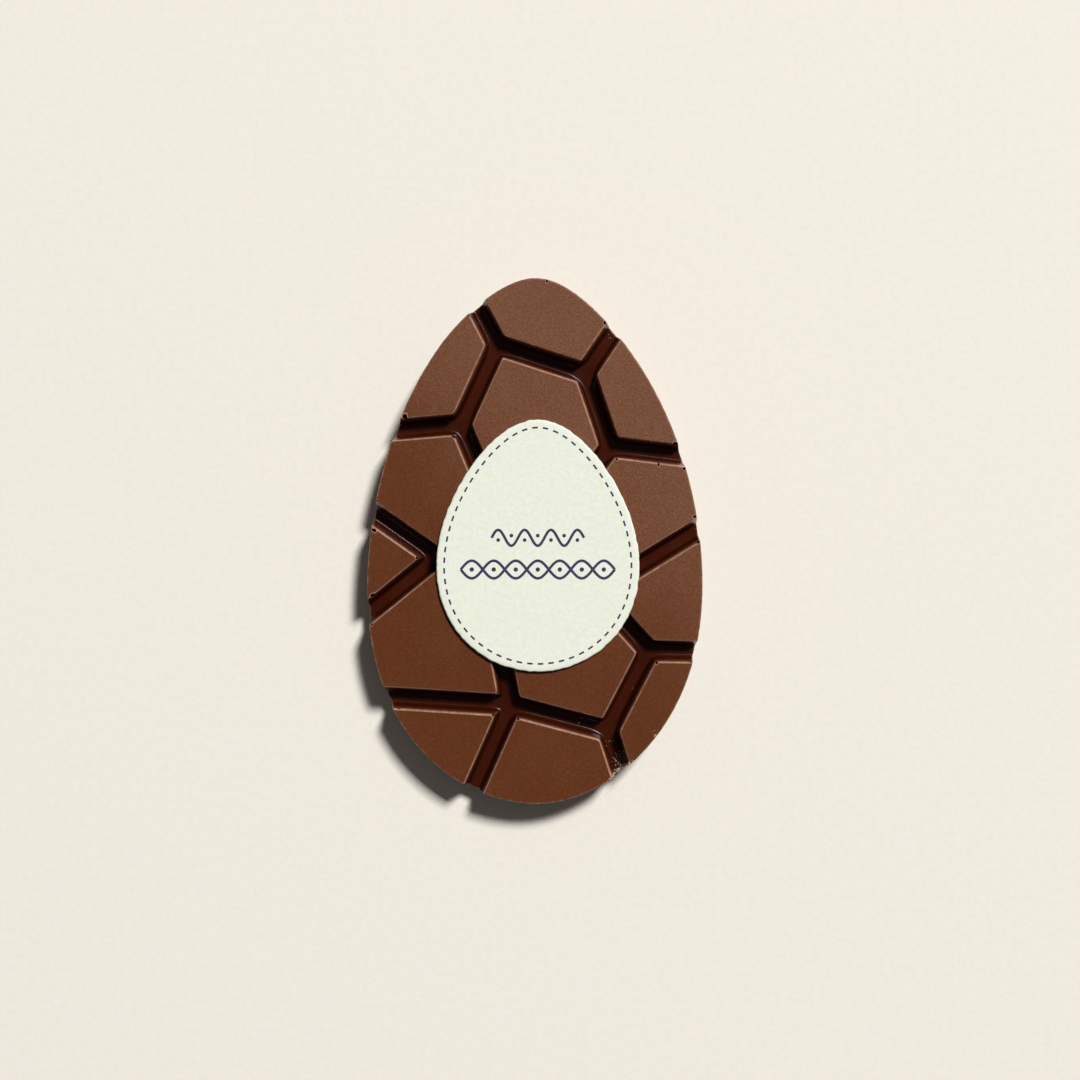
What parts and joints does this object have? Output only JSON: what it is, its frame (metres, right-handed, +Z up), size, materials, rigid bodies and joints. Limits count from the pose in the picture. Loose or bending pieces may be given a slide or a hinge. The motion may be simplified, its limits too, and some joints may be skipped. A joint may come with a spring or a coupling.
{
  "type": "chocolate egg",
  "caption": "Flat egg-shaped milk chocolate bar moulded as a mosaic of tiles, with a thin egg-shaped sugar plaque on top.",
  "frame": {"origin": "middle of the flat underside, at the middle of the egg's length and width", "axes": "+Z up from the underside to the tiles, +Y along the egg towards its narrow end, +X to the right seen from above"},
  "size_m": [0.0762, 0.12, 0.0112],
  "materials": {
    "milk_chocolate": "satin milk chocolate, fine matte grain on the tiles, glossier in the grooves",
    "sugar_paste": "matte off-white sugar paste with a printed dashed border"
  },
  "bodies": {
    "root": {"chocolate_bar": "milk_chocolate", "sugar_plaque": "sugar_paste"}
  },
  "joints": []
}
